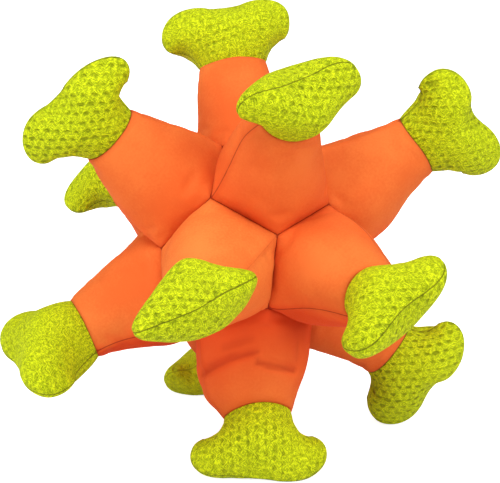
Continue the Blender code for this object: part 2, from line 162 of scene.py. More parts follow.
PULLS = {
    "top": {
        "left_side": (-0.2, -0.8, 0.1), "right_side": (-0.4, 1.6, -0.2), "left_tip": (3.2, -0.6, -0.1),
        "right_tip": (-4.3, -1.5, 0.5), "left_waist": (-2.4, 1.2, 0.0), "right_waist": (2.9, -1.1, 0.0),
        "notch": (1.0, 0.8, -0.2), "front": (0.5, -0.5, 0.1), "back": (0.0, 2.4, -0.4),
        "left_front": (-0.9, -2.7, 0.5), "left_back": (1.3, 2.1, -0.4), "right_front": (0.9, -0.6, 0.0),
        "right_back": (-2.0, 1.0, 0.0), "low_left": (4.2, -0.2, -0.2), "high_right": (0.1, 0.6, -0.1),
        "high_left": (-0.6, 1.4, -0.2), "high_back": (-0.8, 1.9, -0.2),
    },
    "upper_left": {
        "left_side": (-0.8, -0.5, -0.5), "right_side": (2.6, -1.6, 0.2), "left_tip": (2.0, -0.1, 0.7),
        "right_tip": (-8.9, -0.5, -3.2), "left_waist": (-0.6, 2.1, 0.7),
        "right_waist": (-0.8, 2.0, 0.6), "notch": (-1.0, 1.3, 0.2), "front": (-0.1, 0.7, 0.3),
        "back": (0.5, 0.1, 0.2), "left_front": (0.8, 1.0, 0.7), "right_front": (-3.8, 0.3, -1.1),
        "right_back": (-1.3, -0.4, -0.6), "low_right": (1.2, 0.4, 0.6), "high_right": (0.2, -2.3, -1.0),
        "high_front": (-0.5, -0.2, -0.3), "high_left": (-1.4, 0.8, -0.1), "high_back": (0.3, -0.3, 0.0),
    },
    "rear_left": {
        "left_side": (0.4, 0.4, -0.5), "left_tip": (0.7, -0.9, 0.6), "left_waist": (-1.1, 0.8, -0.4),
        "front": (-0.5, -0.1, 0.2), "left_front": (3.0, 0.4, -1.1), "left_back": (0.9, -1.5, 1.1),
        "low_left": (1.7, 2.4, -2.6), "high_front": (-0.8, -0.3, 0.5), "high_left": (1.0, -1.5, 1.1),
    },
    "front_top": {
        "left_side": (0.6, 0.4, 0.0), "right_side": (-1.3, -2.6, -3.0), "left_tip": (1.9, -0.8, -3.0),
        "right_tip": (0.0, 0.4, 0.7), "left_waist": (0.8, 0.5, 0.0), "right_waist": (-0.1, 0.2, 0.4),
        "notch": (0.9, 0.3, -0.2), "front": (-0.5, 0.8, 1.6), "back": (3.8, 0.4, -2.7),
        "left_front": (0.7, 0.2, -0.2), "left_back": (1.1, 0.2, -0.6), "right_front": (0.8, 0.5, 0.1),
        "right_back": (-0.7, 0.4, 1.3), "high_right": (-1.0, 0.0, 0.9), "high_front": (0.2, 0.6, 0.7),
        "high_left": (0.6, 2.8, 4.0), "high_back": (-3.0, -0.2, 2.4),
    },
    "upper_right": {
        "left_side": (0.3, 2.3, 0.2), "right_side": (0.2, 2.3, 0.2), "left_tip": (3.2, -0.1, -1.9),
        "right_tip": (-2.4, -0.2, 1.4), "left_waist": (-2.7, 3.7, 2.2), "right_waist": (0.8, 0.1, -0.4),
        "notch": (-0.8, -0.5, 0.4), "back": (-0.3, 2.2, 0.6), "left_front": (2.3, 0.4, -1.3),
        "left_back": (1.4, 1.6, -0.6), "right_front": (-0.9, 1.1, 0.7), "right_back": (-0.6, 1.1, 0.5),
        "low_right": (3.0, 2.6, -1.3), "low_left": (1.6, 0.0, -1.0), "low_back": (2.9, 1.7, -1.4),
        "high_right": (-0.2, -1.4, -0.1), "high_front": (1.1, -2.0, -1.0),
        "high_left": (-0.8, -7.0, -0.7), "high_back": (-2.4, 2.6, 1.8),
    },
    "lower_left": {
        "left_side": (-0.6, 2.4, 0.0), "right_side": (0.6, 3.4, -1.8), "left_tip": (3.3, 1.4, -4.4),
        "right_tip": (-2.2, 1.1, 2.3), "left_waist": (-2.2, 0.9, 2.4), "right_waist": (2.7, 2.4, -4.0),
        "notch": (1.2, 3.3, -2.5), "front": (-1.9, 0.9, 1.9), "back": (2.8, -1.4, -2.9),
        "left_front": (4.4, 1.6, -5.8), "left_back": (1.2, 1.8, -2.0), "right_front": (-0.8, 1.2, 0.6),
        "right_back": (-2.9, 2.9, 2.6), "low_right": (0.8, 0.3, -1.1), "low_front": (1.0, -0.2, -1.2),
        "low_left": (-0.3, 0.5, 0.2), "low_back": (2.1, 0.1, -2.6), "high_right": (0.8, -1.8, -0.4),
        "high_front": (0.5, -0.5, -0.5), "high_left": (-1.2, -2.7, 2.3), "high_back": (-1.2, -3.0, 2.4),
    },
    "front_left": {
        "left_side": (3.9, -0.4, 0.4), "right_side": (-2.2, 0.2, 0.8), "left_tip": (-1.8, 0.2, -0.4),
        "right_tip": (-0.9, 0.1, 0.7), "left_waist": (1.2, 0.0, -1.5), "right_waist": (-2.3, 0.5, -3.7),
        "notch": (0.1, 0.1, -1.4), "front": (2.4, -0.6, 5.1), "back": (1.1, -0.1, -0.4),
        "left_front": (0.9, 0.0, -1.0), "left_back": (-1.5, -0.1, 3.0),
        "right_front": (1.1, -0.1, -0.9), "right_back": (1.2, -0.3, 3.2),
        "high_right": (-0.6, 0.1, -0.7), "high_front": (0.7, 0.0, -0.5),
    },
    "front_right": {
        "left_side": (1.7, -0.2, 1.7), "right_side": (-3.0, -1.6, 2.3), "left_tip": (-2.1, -0.4, -0.3),
        "right_tip": (-0.9, 0.0, -0.7), "left_waist": (0.2, -0.3, 0.9),
        "right_waist": (-2.3, -0.6, 0.1), "notch": (-1.5, -0.6, 0.5), "front": (0.1, -0.7, 1.8),
        "back": (-0.5, -0.1, -0.2), "left_front": (2.9, 1.6, -2.5), "left_back": (-6.3, -2.3, 1.7),
        "right_front": (-3.9, -0.5, -1.3), "right_back": (1.5, -0.3, 1.8), "low_right": (2.5, 0.6, 0.1),
        "low_left": (0.0, -0.2, 0.5), "high_right": (0.2, -0.3, 1.1), "high_front": (-0.7, -2.3, 5.8),
        "high_left": (-0.7, -2.1, 5.3),
    },
    "right_foot": {
        "left_side": (-1.3, -1.3, 0.8), "right_side": (0.6, 0.1, -0.2), "left_tip": (6.3, -1.0, -2.2),
        "right_tip": (-3.7, -0.6, 1.5), "left_waist": (-2.8, 1.2, 0.8), "right_waist": (0.6, -2.8, 0.3),
        "front": (-0.6, -0.5, 0.3), "left_front": (0.6, 0.1, -0.2), "left_back": (1.8, 0.2, -0.8),
        "right_front": (-1.1, 0.5, 0.3), "right_back": (0.7, -0.8, -0.1), "low_right": (0.2, 1.6, -0.4),
        "low_back": (0.4, 0.3, -0.2), "high_right": (-4.1, -1.1, 1.8), "high_front": (-0.5, -0.3, 0.2),
        "high_left": (-1.6, 0.1, 0.6), "high_back": (-1.2, 0.0, 0.5),
    },
    "rear_foot": {
        "left_side": (2.5, -2.7, -2.0), "left_tip": (-0.5, 0.3, 0.0), "left_waist": (0.2, 0.5, 1.4),
        "front": (0.0, 0.2, 0.5), "back": (0.7, 0.3, 1.6), "left_back": (1.2, 0.4, 2.5),
        "low_left": (-1.2, 3.1, 4.6), "high_left": (-1.4, 0.9, -0.1),
    },
    "front_foot": {
        "left_side": (-1.5, -0.4, -0.3), "right_side": (1.0, -1.1, -0.5), "left_tip": (5.3, -0.2, 0.3),
        "right_tip": (-1.7, -3.9, -2.1), "left_waist": (-0.7, 2.2, 1.1),
        "right_waist": (0.0, -0.4, -0.2), "notch": (2.3, 1.2, 0.8), "front": (0.1, 1.4, 0.7),
        "back": (0.0, -1.5, -0.7), "left_front": (1.5, 1.4, 0.8), "left_back": (4.9, -0.8, 0.0),
        "right_front": (-0.1, 3.9, 1.9), "right_back": (-1.6, 0.6, 0.2), "low_right": (1.4, 1.6, 0.9),
        "low_left": (-1.1, 2.0, 0.9), "high_right": (1.6, 2.7, 1.5), "high_front": (-0.3, -0.7, -0.3),
        "high_left": (-1.6, -2.3, -1.3), "high_back": (-0.8, -2.0, -1.1),
    },
}


def pulls_of(arm):
    places = {}
    for spot, (across, along, deep) in BONE_SPOTS.items():
        offset = (arm.wide * across + arm.bone_axis * along + arm.deep * deep) * MM
        places[spot] = (arm.neck + offset, BONE_PULL_REACH)
    for level, height in SLEEVE_HEIGHTS.items():
        for side, angle in SLEEVE_SIDES.items():
            turn = math.radians(angle)
            offset = (arm.wide * math.cos(turn) + arm.deep * math.sin(turn)) * SLEEVE_SPOT_RADIUS
            places[level + "_" + side] = (arm.base.lerp(arm.neck, height) + offset, SLEEVE_PULL_REACH)
    moves = PULLS.get(arm.name, {})
    return [
        (*places[spot], (arm.wide * across + arm.bone_axis * along + arm.deep * deep) * MM)
        for spot, (across, along, deep) in moves.items()
    ]


ARM_PULLS = {name: pulls_of(arm) for name, arm in ARMS.items()}


def pulled(arm, point):
    rise = min(1.0, max(0.0, (point - arm.base).dot(arm.axis) / PULL_START))
    move = Vector()
    for place, reach, pull in ARM_PULLS[arm.name]:
        move += pull * math.exp(-(((point - place).length / reach) ** 2.0) / 2.0)
    return point + move * (rise * rise * (3.0 - 2.0 * rise))


print("soft pulls:", sum(len(pulls) for pulls in ARM_PULLS.values()))

# %% [markdown]
# ## Drawing a tube of cloth
# A sleeve and a bone end are both tubes, so both are drawn the same way: one loop of edges is made
# with a bmesh operator and extruded row by row, and each new row is moved onto its own outline. That
# keeps clean rows of quads that follow the cloth, which the stuffing step and the weave both need.

# %% Extruding a loop of edges through rows of points
def start_loop(bm, points):
    made = bmesh.ops.create_circle(bm, cap_ends=False, radius=1.0, segments=len(points))["verts"]
    for vert, point in zip(made, points):
        vert.co = point
    return made


def extrude_row(bm, loop, points):
    edges = [bm.edges.get((loop[k - 1], loop[k])) for k in range(len(loop))]
    made = bmesh.ops.extrude_edge_only(bm, edges=edges)["geom"]
    new = {item for item in made if isinstance(item, bmesh.types.BMVert)}
    row = [next(e.other_vert(v) for e in v.link_edges if e.other_vert(v) in new) for v in loop]
    for vert, point in zip(row, points):
        vert.co = point
    return row


def close_loop(bm, loop):
    edges = [bm.edges.get((loop[k - 1], loop[k])) for k in range(len(loop))]
    return bmesh.ops.edgeloop_fill(bm, edges=edges)["faces"]


def bezier(first, middle, last, share):
    return first * (1.0 - share) ** 2 + middle * (2.0 * share * (1.0 - share)) + last * share**2


# %% [markdown]
# ## The canvas sleeve's pattern
# A sleeve runs from its straight-sided base to an oval neck and is a little fuller halfway. Its seams
# are sunk a little, and the base's edge turns in towards the ball's middle as a hem, so that two
# neighbours meet in a closed crease as sewn cloth does. The first row of the tube is that hem.

# %% The sleeve's surface
NECK_HALF_WIDTH = 0.0140
NECK_HALF_DEPTH = 0.0118
SLEEVE_MID_RADIUS = 0.0218
SLEEVE_ROWS = 24
COLUMNS_PER_SIDE = 12
SEAM_DEPTH = 0.0003
SEAM_GAP = 0.00001
HEM = 0.0035
SEAM_ROW = 1


def neck_turn(arm, share):
    if share <= arm.split:
        return math.pi * share / arm.split
    return math.pi + math.pi * (share - arm.split) / (BASE_SIDES - arm.split)


def base_point(arm, share, depth):
    step = int(share) % BASE_SIDES
    point = arm.corners[step].lerp(arm.corners[(step + 1) % BASE_SIDES], share - int(share))
    inward = (arm.base - point).normalized() * SEAM_GAP
    return point + (CENTRE - point).normalized() * depth + inward


def plain_sleeve_point(arm, share, along):
    base = base_point(arm, share, 0.0)
    turn = neck_turn(arm, share)
    top = arm.neck + arm.wide * NECK_HALF_WIDTH * math.cos(turn)
    top += arm.deep * NECK_HALF_DEPTH * math.sin(turn)
    spoke = (base - arm.base).normalized() + (top - arm.neck).normalized()
    middle = (arm.base + arm.neck) / 2.0 + spoke.normalized() * SLEEVE_MID_RADIUS
    point = bezier(base, middle, top, along)
    seam = share in (0.0, float(arm.split)) or along == 1.0
    return point + (arm.base.lerp(arm.neck, along) - point).normalized() * (SEAM_DEPTH if seam else 0.0)


def sleeve_point(arm, share, along):
    if along == 0.0:
        return base_point(arm, share, SEAM_DEPTH)
    return pulled(arm, plain_sleeve_point(arm, share, along))


def sleeve_height(row):
    return row / SLEEVE_ROWS


def sleeve_rows(arm):
    shares = [column / COLUMNS_PER_SIDE for column in range(BASE_SIDES * COLUMNS_PER_SIDE)]
    heights = [sleeve_height(row) for row in range(SLEEVE_ROWS + 1)]
    hem = [base_point(arm, share, SEAM_DEPTH + HEM) for share in shares]
    return [hem] + [[sleeve_point(arm, share, height) for share in shares] for height in heights]


print("hems are", round(HEM * TO_MM, 1), "mm deep, seams are sunk", round(SEAM_DEPTH * TO_MM, 1), "mm")

# %% [markdown]
# ## The bone end's pattern
# A bone end is cut as two flat bone shapes of air mesh and sewn together round the outline. Each
# lobe's outline is an arc, and a soft dip joins both arcs. The loops of the tube start at the neck and
# end on that outline, where the front and the back panel meet in the seam. Here too the first row is
# a hem: it sits inside the sleeve's mouth.

# %% The bone end's surface
LOBE_OFFSET = 0.0186
LOBE_HEIGHT = 0.0186
LOBE_RADIUS = 0.0109
LOBE_START_DEG = -62.0
LOBE_SHARE = 2.0 / 3.0
NOTCH_HEIGHT = 0.0266
WAIST_HEIGHT = 0.0085
BONE_HALF_DEPTH = 0.0134
SIDE_POWER = 4.0
SWELL_POWER = 0.45
RIM_POWER = 3.0
RIM_ROUNDNESS = 0.55
HEM_TUCK = 0.12
BONE_ROWS = 15
PANEL_COLUMNS = 30


def outline_point(fold):
    half = min(fold, 1.0 - fold) * 2.0
    if half < LOBE_SHARE:
        turn = math.radians(LOBE_START_DEG + (90.0 - LOBE_START_DEG) * half / LOBE_SHARE)
        across = LOBE_OFFSET + LOBE_RADIUS * math.cos(turn)
        height = LOBE_HEIGHT + LOBE_RADIUS * math.sin(turn)
    else:
        place = (1.0 - half) / (1.0 - LOBE_SHARE)
        dip = LOBE_HEIGHT + LOBE_RADIUS - NOTCH_HEIGHT
        across = LOBE_OFFSET * place
        height = NOTCH_HEIGHT + dip * (1.0 - math.cos(math.pi * place)) / 2.0
    return (across if fold <= 0.5 else -across), height


def plain_bone_point(arm, share, along):
    turn = math.tau * share
    fold = share * 2.0 if share <= 0.5 else (1.0 - share) * 2.0
    across, height = outline_point(fold)
    neck_across = NECK_HALF_WIDTH * math.cos(turn)
    neck_depth = NECK_HALF_DEPTH * math.sin(turn)
    side = abs(math.cos(turn)) ** SIDE_POWER
    waist = height / 2.0 * (1.0 - side) + WAIST_HEIGHT * side
    x = bezier(neck_across, neck_across, across, along)
    y = bezier(0.0, waist, height, along) * arm.bone_length / NOTCH_HEIGHT
    swell = math.copysign(abs(math.sin(turn)) ** SWELL_POWER, math.sin(turn)) * BONE_HALF_DEPTH
    z = neck_depth + (swell - neck_depth) * min(1.0, along * 2.0)
    z *= max(0.0, 1.0 - along**RIM_POWER) ** RIM_ROUNDNESS
    if along == 0.0:
        x, z = x * (1.0 - SEAM_DEPTH / NECK_HALF_WIDTH), z * (1.0 - SEAM_DEPTH / NECK_HALF_DEPTH)
    return arm.neck + arm.bone_axis * y + arm.wide * x + arm.deep * z


def bone_point(arm, share, along):
    return pulled(arm, plain_bone_point(arm, share, along))


def bone_height(row):
    return math.sin(math.pi / 2.0 * row / BONE_ROWS)


def bone_rows(arm):
    shares = [column / (2 * PANEL_COLUMNS) for column in range(2 * PANEL_COLUMNS)]
    heights = [bone_height(row) for row in range(BONE_ROWS + 1)]
    hem = [bone_point(arm, share, 0.0).lerp(arm.neck, HEM_TUCK) - arm.bone_axis * HEM for share in shares]
    return [hem] + [[bone_point(arm, share, height) for share in shares] for height in heights]


print("a bone end is", round((LOBE_OFFSET + LOBE_RADIUS) * 2.0 * TO_MM, 1), "mm wide before it is pulled")

# %% [markdown]
# ## Making the tubes
# Each tube is closed at its open ends for the stuffing step, because the pressure works on a closed
# shape. Every vertex keeps its row and its column in two attributes. The pins and the weave read them.

# %% Tubes of cloth
MERGE_DISTANCE = 0.00001


def add_object(name, bm):
    mesh = bpy.data.meshes.new(name)
    bm.to_mesh(mesh)
    bm.free()
    piece = bpy.data.objects.new(name, mesh)
    bpy.context.scene.collection.objects.link(piece)
    return piece


def draw_tube(name, rows, merge_end):
    bm = bmesh.new()
    row_layer = bm.verts.layers.int.new("row")
    column_layer = bm.verts.layers.int.new("column")
    loop = start_loop(bm, rows[0])
    loops = [loop]
    for points in rows[1:]:
        loop = extrude_row(bm, loop, points)
        loops.append(loop)
    for row, loop in enumerate(loops):
        for column, vert in enumerate(loop):
            vert[row_layer], vert[column_layer] = row, column
    close_loop(bm, loops[0])
    if merge_end:
        bmesh.ops.remove_doubles(bm, verts=loops[-1], dist=MERGE_DISTANCE)
    else:
        close_loop(bm, loops[-1])
    bmesh.ops.recalc_face_normals(bm, faces=bm.faces)
    return add_object(name, bm)


SLEEVES = {name: draw_tube("canvas_sleeve_" + name, sleeve_rows(arm), False) for name, arm in ARMS.items()}
BONES = {name: draw_tube("mesh_bone_" + name, bone_rows(arm), True) for name, arm in ARMS.items()}
SLEEVE_END = SEAM_ROW + SLEEVE_ROWS
BONE_END = SEAM_ROW + BONE_ROWS
print("faces in a sleeve:", len(SLEEVES["top"].data.polygons))
print("faces in a bone end:", len(BONES["top"].data.polygons))

# %% [markdown]
# ## Packing in the fibre
# Fibre presses on the cloth from inside and the seams hold it back, so each panel swells into a soft
# pillow with small puckers along its seams. A cloth simulation does exactly that: the seams are
# pinned, a light pressure fills the tube, and the cloth is cut a touch too large so that it puckers.
# The solver is tuned for pieces of about a metre, so the tubes are simulated at twenty times their size.

# %% Puffing the tubes
CLOTH_SCALE = 20.0
STUFFING_FRAMES = 20
SLEEVE_PRESSURE = 3.0
SLEEVE_SPARE = 0.02
BONE_PRESSURE = 5.0
BONE_SPARE = 0.03
CLOTH_SETTINGS = {
    "vertex_group_mass": "seams", "use_pressure": True, "tension_stiffness": 30.0,
    "compression_stiffness": 30.0, "shear_stiffness": 10.0, "bending_stiffness": 2.0,
    "air_damping": 5.0, "quality": 6,
}


def vertex_marks(piece):
    attributes = piece.data.attributes
    rows = [item.value for item in attributes["row"].data]
    columns = [item.value for item in attributes["column"].data]
    return rows, columns


def on_seam(row, column, end_row, seam_columns):
    return row <= SEAM_ROW or row == end_row or column in seam_columns


def pin_seams(piece, end_row, seam_columns):
    seams = piece.vertex_groups.new(name="seams")
    marks = enumerate(zip(*vertex_marks(piece)))
    held = [k for k, (row, column) in marks if on_seam(row, column, end_row, seam_columns)]
    seams.add(held, 1.0, "REPLACE")


def add_cloth(piece, pressure, spare):
    piece.data.transform(Matrix.Scale(CLOTH_SCALE, 4))
    cloth = piece.modifiers.new("stuffing", "CLOTH")
    for name, value in CLOTH_SETTINGS.items():
        setattr(cloth.settings, name, value)
    cloth.settings.effector_weights.gravity = 0.0
    cloth.settings.uniform_pressure_force = pressure
    cloth.settings.shrink_min = -spare
    cloth.collision_settings.use_collision = False
    cloth.point_cache.frame_start = 1
    cloth.point_cache.frame_end = STUFFING_FRAMES


def keep_cloth(piece):
    shape = piece.evaluated_get(bpy.context.evaluated_depsgraph_get())
    places = np.zeros(len(piece.data.vertices) * 3)
    shape.data.vertices.foreach_get("co", places)
    piece.modifiers.clear()
    piece.data.vertices.foreach_set("co", places / CLOTH_SCALE)
    piece.vertex_groups.clear()


SLEEVE_SEAMS = {name: (0, arm.split * COLUMNS_PER_SIDE) for name, arm in ARMS.items()}
BONE_SEAMS = (0, PANEL_COLUMNS)
for name in ARMS:
    pin_seams(SLEEVES[name], SLEEVE_END, SLEEVE_SEAMS[name])
    pin_seams(BONES[name], BONE_END, BONE_SEAMS)
for name in ARMS:
    add_cloth(SLEEVES[name], SLEEVE_PRESSURE, SLEEVE_SPARE)
    add_cloth(BONES[name], BONE_PRESSURE, BONE_SPARE)
for step in range(1, STUFFING_FRAMES + 1):
    bpy.context.scene.frame_set(step)
for piece in [*SLEEVES.values(), *BONES.values()]:
    keep_cloth(piece)
bpy.context.scene.frame_set(1)
print("stuffed", len(SLEEVES) + len(BONES), "tubes of cloth")

# %% [markdown]
# ## Folds and pinches
# Stuffed cloth is never quite smooth. The front foot carries the toy's weight, so its sleeve buckles:
# two long folds cross it, with smaller ones and soft bulges beside them. A lobe is pinched where its
# seam was tacked, and the side foot creases at its neck. Faint noise ruffles all the cloth first. A
# fold is then a line of places on the tube, each given by a share round the tube and a share of its
# length, with a depth and a width in millimetres. The cloth sinks along it in a bell curve, and a
# depth below nought makes a bulge. An attribute keeps how hard each point is pressed, and the
# materials paint shade into the folds from it. Last, the feet are flattened where they stand.

# %% Creasing the cloth
SLEEVE_FOLDS = {
    "front_foot": [
        (((5.05, 0.5), (4.8, 0.49), (4.5, 0.485), (4.12, 0.5)), 2.1, 2.0),
        (((4.08, 0.61), (3.9, 0.645), (3.6, 0.63), (3.4, 0.61)), 1.9, 1.8),
        (((4.55, 0.36), (4.2, 0.34)), 0.9, 3.0),
        (((4.8, 0.62), (4.2, 0.6)), -0.5, 2.6),
        (((3.95, 0.5), (3.55, 0.51)), -0.5, 2.2),
        (((5.15, 0.52), (5.15, 0.7)), -2.0, 7.0),
        (((3.42, 0.28), (3.4, 0.38), (3.39, 0.49)), 0.7, 1.8),
    ],
    "lower_left": [(((1.6, 0.62), (1.3, 0.61)), 0.4, 1.6), (((1.14, 0.36), (0.92, 0.33)), 0.4, 1.5)],
    "front_top": [(((2.3, 0.57), (2.65, 0.62)), 0.35, 1.8), (((2.6, 0.33), (2.95, 0.3)), 0.35, 1.8)],
}
BONE_FOLDS = {
    "right_foot": [
        (((0.963, 0.15), (0.965, 0.38), (0.93, 0.52)), 1.3, 1.7),
        (((0.915, 0.1), (0.89, 0.26), (0.883, 0.5)), 0.8, 1.6),
    ],
    "upper_right": [(((0.54, 0.92), (0.56, 0.88)), 1.5, 1.6)],
    "front_foot": [(((0.767, 0.8), (0.767, 0.98)), 0.7, 1.3)],
}
SLEEVE_RUFFLE = ((90.0, 0.0003), (260.0, 0.00012))
BONE_RUFFLE = ((150.0, 0.0002), (550.0, 0.0002))
DARK_FOLD_MM = 1.5
FLOOR_SOFTNESS = 0.0005
SOFT_FLOOR_TOP = 8.0 * FLOOR_SOFTNESS


def line_distance(point, line):
    gaps = []
    for start, end in zip(line, line[1:]):
        share = (point - start).dot(end - start) / (end - start).length_squared
        gaps.append((point - start.lerp(end, min(1.0, max(0.0, share)))).length)
    return min(gaps)


def crease(piece, arm, folds, surface, columns_per_share, height_of):
    lines = []
    for line, depth, width in folds:
        lines.append(([surface(arm, share % BASE_SIDES, along) for share, along in line], depth, width))
    shade = piece.data.attributes.new("fold", "FLOAT", "POINT")
    for vert, row, column in zip(piece.data.vertices, *vertex_marks(piece)):
        if row <= SEAM_ROW:
            continue
        along = height_of(row - SEAM_ROW)
        home = surface(arm, column / columns_per_share, along)
        if surface is plain_sleeve_point:
            inward = (arm.base.lerp(arm.neck, along) - home).normalized()
        else:
            inward = -vert.normal
        for line, depth, width in lines:
            press = math.exp(-((line_distance(home, line) * TO_MM / width) ** 2.0))
            vert.co += inward * depth * MM * press
            # The fold attribute says how much shade the materials paint into each fold.
            mark = shade.data[vert.index]
            mark.value = max(mark.value, press * min(1.0, depth / DARK_FOLD_MM))


def ruffle(piece, end_row, broad, fine):
    for vert, row, _ in zip(piece.data.vertices, *vertex_marks(piece)):
        if SEAM_ROW < row < end_row:
            rise = noise.noise(vert.co * broad[0]) * broad[1] + noise.noise(vert.co * fine[0]) * fine[1]
            vert.co += vert.normal * rise


def rest_on_floor(piece):
    for vert in piece.data.vertices:
        if vert.co.z < SOFT_FLOOR_TOP:
            vert.co.z = FLOOR_SOFTNESS * math.log1p(math.exp(vert.co.z / FLOOR_SOFTNESS))


for name, arm in ARMS.items():
    ruffle(SLEEVES[name], SLEEVE_END, *SLEEVE_RUFFLE)
    ruffle(BONES[name], BONE_END, *BONE_RUFFLE)
    if name in SLEEVE_FOLDS:
        crease(SLEEVES[name], arm, SLEEVE_FOLDS[name], plain_sleeve_point, COLUMNS_PER_SIDE, sleeve_height)
    if name in BONE_FOLDS:
        crease(BONES[name], arm, BONE_FOLDS[name], plain_bone_point, 2 * PANEL_COLUMNS, bone_height)
    rest_on_floor(BONES[name])
print("folds:", sum(len(folds) for folds in [*SLEEVE_FOLDS.values(), *BONE_FOLDS.values()]))

# %% [markdown]
# ## Laying the panels flat
# Cloth is woven flat, so its pattern has to follow each panel and not the room it stands in. Each
# panel is cut free at its seams and unwrapped with as little stretch as possible, as if it were
# unpicked and ironed. Its map is then turned and scaled so that one unit is one metre of cloth, with
# the arm's length upwards. The grain of each bone end is turned, because its panels were cut that way.

# %% Unwrapping
GRAIN_DEG = {
    "top": 10.0, "upper_left": -45.0, "rear_left": 0.0, "front_top": -20.0, "upper_right": 60.0,
    "rear_right": 0.0, "lower_left": 20.0, "front_left": 30.0, "front_right": 40.0, "right_foot": -50.0,
    "rear_foot": 0.0, "front_foot": 90.0,
}
PATTERN_STEP = (0.137, 0.059)


def open_ends(piece):
    bm = bmesh.new()
    bm.from_mesh(piece.data)
    caps = [face for face in bm.faces if len(face.verts) > 4]
    bmesh.ops.delete(bm, geom=caps, context="FACES_ONLY")
    bm.to_mesh(piece.data)
    bm.free()


def mark_seams(piece, end_row, seam_columns, closed_end):
    rows, columns = vertex_marks(piece)
    folds = piece.data.attributes.new("crease_edge", "FLOAT", "EDGE")
    for k, edge in enumerate(piece.data.edges):
        a, b = edge.vertices
        side = columns[a] == columns[b] and columns[a] in seam_columns
        edge.use_seam = side or (closed_end and rows[a] == rows[b] == end_row)
        folds.data[k].value = float(edge.use_seam or rows[a] == rows[b] == SEAM_ROW)


def mark_corners(piece):
    points = piece.data.attributes.new("crease_vert", "FLOAT", "POINT")
    for k, (row, column) in enumerate(zip(*vertex_marks(piece))):
        points.data[k].value = float(row <= SEAM_ROW and column % COLUMNS_PER_SIDE == 0)


def unwrap(piece):
    bpy.context.view_layer.objects.active = piece
    piece.select_set(True)
    bpy.ops.object.mode_set(mode="EDIT")
    bpy.ops.mesh.select_all(action="SELECT")
    bpy.ops.uv.unwrap(method="ANGLE_BASED", margin=0.02)
    bpy.ops.object.mode_set(mode="OBJECT")
    piece.select_set(False)


def panel_of(piece, end_row, seam_columns):
    rows, columns = vertex_marks(piece)
    panels = []
    for face in piece.data.polygons:
        own = [columns[v] for v in face.vertices if rows[v] < end_row] or [0]
        wraps = max(own) - min(own) > 1
        panels.append(0 if not wraps and max(own) <= seam_columns[1] else 1)
    return panels


def quad_area(corners):
    first, second = corners[2] - corners[0], corners[-1] - corners[1]
    return abs(first[0] * second[1] - first[1] * second[0]) / 2.0


def size_map(piece, panels, across, along, grain, offset):
    mesh = piece.data
    layer = mesh.uv_layers.active
    flat = np.zeros(len(mesh.loops) * 2)
    layer.data.foreach_get("uv", flat)
    flat = flat.reshape(-1, 2)
    places = np.array([mesh.vertices[loop.vertex_index].co for loop in mesh.loops])
    target = np.stack([places @ np.array(across), places @ np.array(along)], axis=1)
    turn = np.array([[math.cos(grain), -math.sin(grain)], [math.sin(grain), math.cos(grain)]])
    for panel in (0, 1):
        faces = [face for face, own in zip(mesh.polygons, panels) if own == panel]
        loops = np.array([k for face in faces for k in face.loop_indices])
        area = sum(face.area for face in faces)
        flat_area = sum(quad_area(flat[list(face.loop_indices)]) for face in faces)
        own = flat[loops] - flat[loops].mean(axis=0)
        aim = target[loops] - target[loops].mean(axis=0)
        left, _, right = np.linalg.svd(own.T @ aim)
        flat[loops] = own @ left @ right * math.sqrt(area / flat_area) @ turn + offset * (panel + 1.0)
    layer.data.foreach_set("uv", flat.ravel())


def lay_flat(piece, arm, end_row, seam_columns, closed_end, grain, offset):
    open_ends(piece)
    mark_seams(piece, end_row, seam_columns, closed_end)
    unwrap(piece)
    panels = panel_of(piece, end_row, seam_columns)
    size_map(piece, panels, arm.wide, arm.bone_axis, math.radians(grain), np.array(offset))


for step, (name, arm) in enumerate(ARMS.items()):
    offset = [size * (step + 1) for size in PATTERN_STEP]
    lay_flat(SLEEVES[name], arm, SLEEVE_END, SLEEVE_SEAMS[name], False, 0.0, offset)
    mark_corners(SLEEVES[name])
    lay_flat(BONES[name], arm, BONE_END, BONE_SEAMS, True, GRAIN_DEG[name], offset)
print("unwrapped", len(SLEEVES) + len(BONES), "pieces into two panels each")

# %% [markdown]
# ## Marking how near each point is to a seam
# Cloth is pinched and a little frayed beside a seam, and shade is painted on the canvas there. The
# materials need to know where that is, so every point gets the distance to the closest seam, in
# millimetres, as an attribute of the mesh.
# Some seams are pulled open and show a dark line, others close up and hardly show: the two tables
# say how many millimetres further away a side seam or a neck seems. A second attribute counts the
# columns along a bone end's seam, because the mesh puckers into small ribs that stand across it.

# %% Distance to the seams
SIDE_SEAM_CLOSED_MM = {"front_top": 0.05, "front_right": 0.05, "lower_left": 0.05, "front_left": 0.3}
NECK_CLOSED_MM = {"upper_right": 0.0, "right_foot": 0.0, "upper_left": 0.05, "lower_left": 0.15}
CLOSED_MM = 0.6
FAR_MM = 1000.0


def nearest(places, held):
    return np.sqrt(((places[:, None] - places[held][None]) ** 2).sum(axis=2)).min(axis=1)


def mark_distance(piece, end_row, seam_columns, side_mm, end_mm, neck_row):
    rows, columns = vertex_marks(piece)
    places = np.array([vert.co for vert in piece.data.vertices]) * TO_MM
    gaps = np.full(len(places), FAR_MM)
    for seam_row, closed in ((SEAM_ROW, 0.0), (end_row, end_mm)):
        held = np.array([row == seam_row for row in rows])
        away = closed + (neck_row if seam_row == SEAM_ROW else 0.0)
        gaps = np.minimum(gaps, nearest(places, held) + away)
    held = np.array([column in seam_columns for column in columns])
    marks = piece.data.attributes.new("seam_mm", "FLOAT", "POINT")
    marks.data.foreach_set("value", np.minimum(gaps, nearest(places, held) + side_mm))


